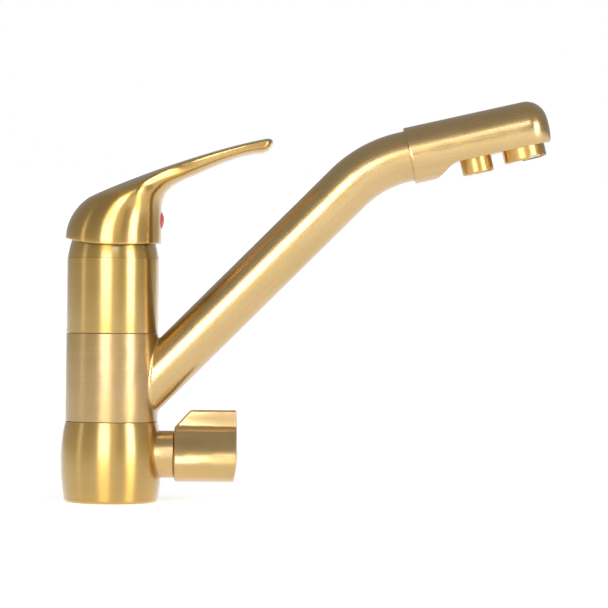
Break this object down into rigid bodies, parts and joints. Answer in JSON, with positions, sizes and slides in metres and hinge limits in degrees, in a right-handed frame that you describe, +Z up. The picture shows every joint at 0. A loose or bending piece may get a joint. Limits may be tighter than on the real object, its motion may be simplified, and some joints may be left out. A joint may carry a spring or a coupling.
{
  "type": "three-way kitchen mixer tap",
  "caption": "Single-lever kitchen mixer in brushed brass with a swivelling angled spout, a side valve for filtered water and a separate filtered outlet beside the mixed outlet.",
  "frame": {"origin": "centre of the base's underside, on the body's axis, in the plane of the worktop or sink deck", "axes": "+Z up along the body, +X towards the spout, the lever and the filter valve at rest, +Y to the cold side"},
  "size_m": [0.2537, 0.0526, 0.211],
  "materials": {
    "brushed_brass": "satin, turned and brushed, lacquered",
    "machined_brass": "satin, as turned",
    "rubber": "matte",
    "nylon": "satin",
    "ceramic": "polished",
    "steel": "satin",
    "red_plastic": "gloss",
    "blue_plastic": "gloss"
  },
  "bodies": {
    "base": {"base_body": "brushed_brass", "base_gasket": "rubber", "upper_body": "brushed_brass", "lower_slip_ring": "nylon", "upper_slip_ring": "nylon", "column_o_rings": "rubber", "passage_seals": "rubber", "cartridge_foot": "nylon", "cartridge_seals": "rubber", "fixed_disc": "ceramic", "cartridge_case": "nylon", "retaining_nut": "machined_brass", "dome_cap": "brushed_brass", "valve_headwork": "machined_brass", "valve_neck": "brushed_brass", "valve_seat_seal": "rubber", "valve_fixed_disc": "ceramic"},
    "rotor": {"cartridge_rotor": "nylon", "pivot_pin": "steel"},
    "mixing_disc": {"moving_disc": "ceramic", "disc_carrier": "nylon"},
    "lever": {"cartridge_stem": "machined_brass", "lever_handle": "brushed_brass", "lever_grub_screw": "steel", "hot_index": "red_plastic", "cold_index": "blue_plastic"},
    "spout": {"spout_collar": "brushed_brass", "spout_tube": "brushed_brass", "filtered_water_tube": "nylon", "outlet_head": "brushed_brass", "head_seal": "rubber", "mixed_outlet_ring": "brushed_brass", "mixed_outlet_insert": "nylon", "mixed_outlet_washer": "rubber", "filtered_outlet_ring": "brushed_brass", "filtered_outlet_insert": "nylon", "filtered_outlet_washer": "rubber"},
    "valve": {"valve_moving_disc": "ceramic", "valve_spindle": "machined_brass", "spindle_o_ring": "rubber", "valve_knob": "brushed_brass", "knob_grub_screw": "steel"}
  },
  "joints": [
    {"name": "spout_swivel", "type": "hinge", "parent": "base", "child": "spout", "pos_m": [0, 0, 0.065], "axis": [0, 0, 1], "continuous": true},
    {"name": "lever_turn", "type": "hinge", "parent": "base", "child": "rotor", "pos_m": [0, 0, 0.13], "axis": [0, 0, 1], "range_deg": [-45, 45]},
    {"name": "lever_lift", "type": "hinge", "parent": "rotor", "child": "lever", "pos_m": [0, 0, 0.13], "axis": [0, -1, 0], "range_deg": [0, 20]},
    {"name": "disc_slide", "type": "slide", "parent": "rotor", "child": "mixing_disc", "axis": [1, 0, 0], "range_m": [0, 0.00445]},
    {"name": "filter_valve_turn", "type": "hinge", "parent": "base", "child": "valve", "pos_m": [0.03, 0, 0.0251], "axis": [1, 0, 0], "range_deg": [0, 90]}
  ],
  "couplings": [
    {"joint": "disc_slide", "follows": "lever_lift", "m_per_rad": 0.01274}
  ]
}
